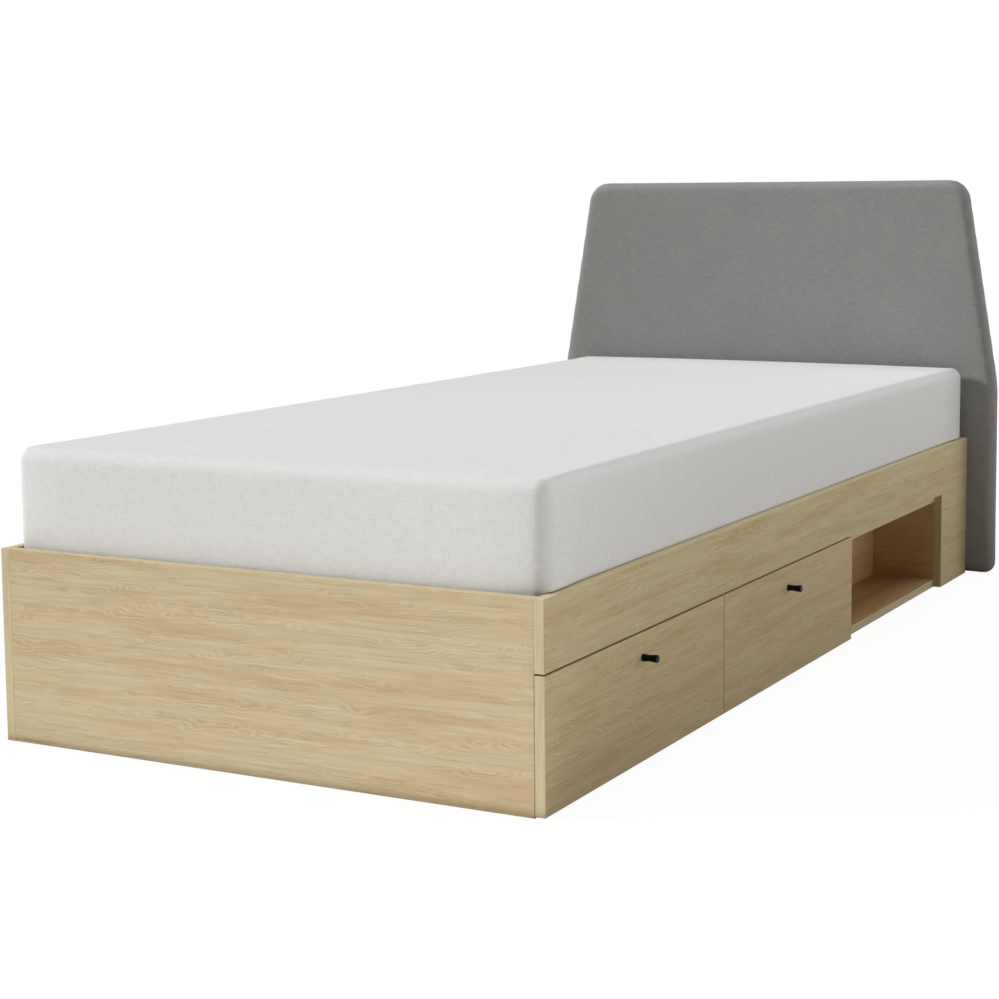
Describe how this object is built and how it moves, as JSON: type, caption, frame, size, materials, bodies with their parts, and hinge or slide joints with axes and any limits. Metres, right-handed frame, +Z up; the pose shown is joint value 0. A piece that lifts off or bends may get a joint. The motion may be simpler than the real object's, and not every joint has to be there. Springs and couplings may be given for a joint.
{
  "type": "single bed",
  "caption": "Single bed with a low board frame, side drawers on telescopic runners, an open shelf, a slatted base, a foam mattress and a padded fabric headboard.",
  "frame": {"origin": "on the floor under the middle of the bed's bounding box", "axes": "+Y points from the foot to the headboard, +X points to the drawer side, +Z is up"},
  "size_m": [1.061, 2.0744, 0.868],
  "materials": {
    "oak_laminate": "satin laminate with oak grain",
    "pine": "planed bare pine",
    "chipboard": "raw chipboard",
    "drawer_board": "pale laminated board",
    "black_metal": "satin black powder coat",
    "zinc_steel": "zinc plated",
    "mattress_knit": "fine pale grey knit",
    "grey_weave": "mid grey melange weave",
    "foam": "open cell foam",
    "webbing": "woven polyester tape"
  },
  "bodies": {
    "frame": {"foot_panel": "oak_laminate", "left_side_panel": "oak_laminate", "right_side_panel": "oak_laminate", "head_end_panel": "oak_laminate", "cross_partition_1": "oak_laminate", "cross_partition_2": "oak_laminate", "cross_partition_3": "oak_laminate", "niche_floor": "oak_laminate", "niche_top": "oak_laminate", "niche_back": "oak_laminate", "left_batten": "pine", "right_batten": "pine", "slat_01": "pine", "slat_02": "pine", "slat_03": "pine", "slat_04": "pine", "slat_05": "pine", "slat_06": "pine", "slat_07": "pine", "slat_08": "pine", "slat_09": "pine", "slat_10": "pine", "slat_11": "pine", "slat_12": "pine", "slat_13": "pine", "slat_14": "pine", "slat_straps": "webbing", "mattress_cover": "mattress_knit", "mattress_core": "foam", "headboard_cover": "grey_weave", "headboard_foam": "foam", "headboard_board": "chipboard", "headboard_bolts": "zinc_steel", "drawer_1_runner_fixed": "zinc_steel", "drawer_2_runner_fixed": "zinc_steel"},
    "drawer_1": {"drawer_1_front": "oak_laminate", "drawer_1_left_side": "drawer_board", "drawer_1_right_side": "drawer_board", "drawer_1_back": "drawer_board", "drawer_1_base": "drawer_board", "drawer_1_knob": "black_metal", "drawer_1_knob_screw": "zinc_steel", "drawer_1_runner_moving": "zinc_steel"},
    "drawer_1_runner": {"drawer_1_runner_middle": "zinc_steel"},
    "drawer_2": {"drawer_2_front": "oak_laminate", "drawer_2_left_side": "drawer_board", "drawer_2_right_side": "drawer_board", "drawer_2_back": "drawer_board", "drawer_2_base": "drawer_board", "drawer_2_knob": "black_metal", "drawer_2_knob_screw": "zinc_steel", "drawer_2_runner_moving": "zinc_steel"},
    "drawer_2_runner": {"drawer_2_runner_middle": "zinc_steel"}
  },
  "joints": [
    {"name": "drawer_1_slide", "type": "slide", "parent": "frame", "child": "drawer_1", "axis": [1, 0, 0], "range_m": [0, 0.5]},
    {"name": "drawer_1_runner_slide", "type": "slide", "parent": "frame", "child": "drawer_1_runner", "axis": [1, 0, 0], "range_m": [0, 0.25]},
    {"name": "drawer_2_slide", "type": "slide", "parent": "frame", "child": "drawer_2", "axis": [1, 0, 0], "range_m": [0, 0.5]},
    {"name": "drawer_2_runner_slide", "type": "slide", "parent": "frame", "child": "drawer_2_runner", "axis": [1, 0, 0], "range_m": [0, 0.25]}
  ],
  "couplings": [
    {"joint": "drawer_1_runner_slide", "follows": "drawer_1_slide", "ratio": 0.5},
    {"joint": "drawer_2_runner_slide", "follows": "drawer_2_slide", "ratio": 0.5}
  ]
}
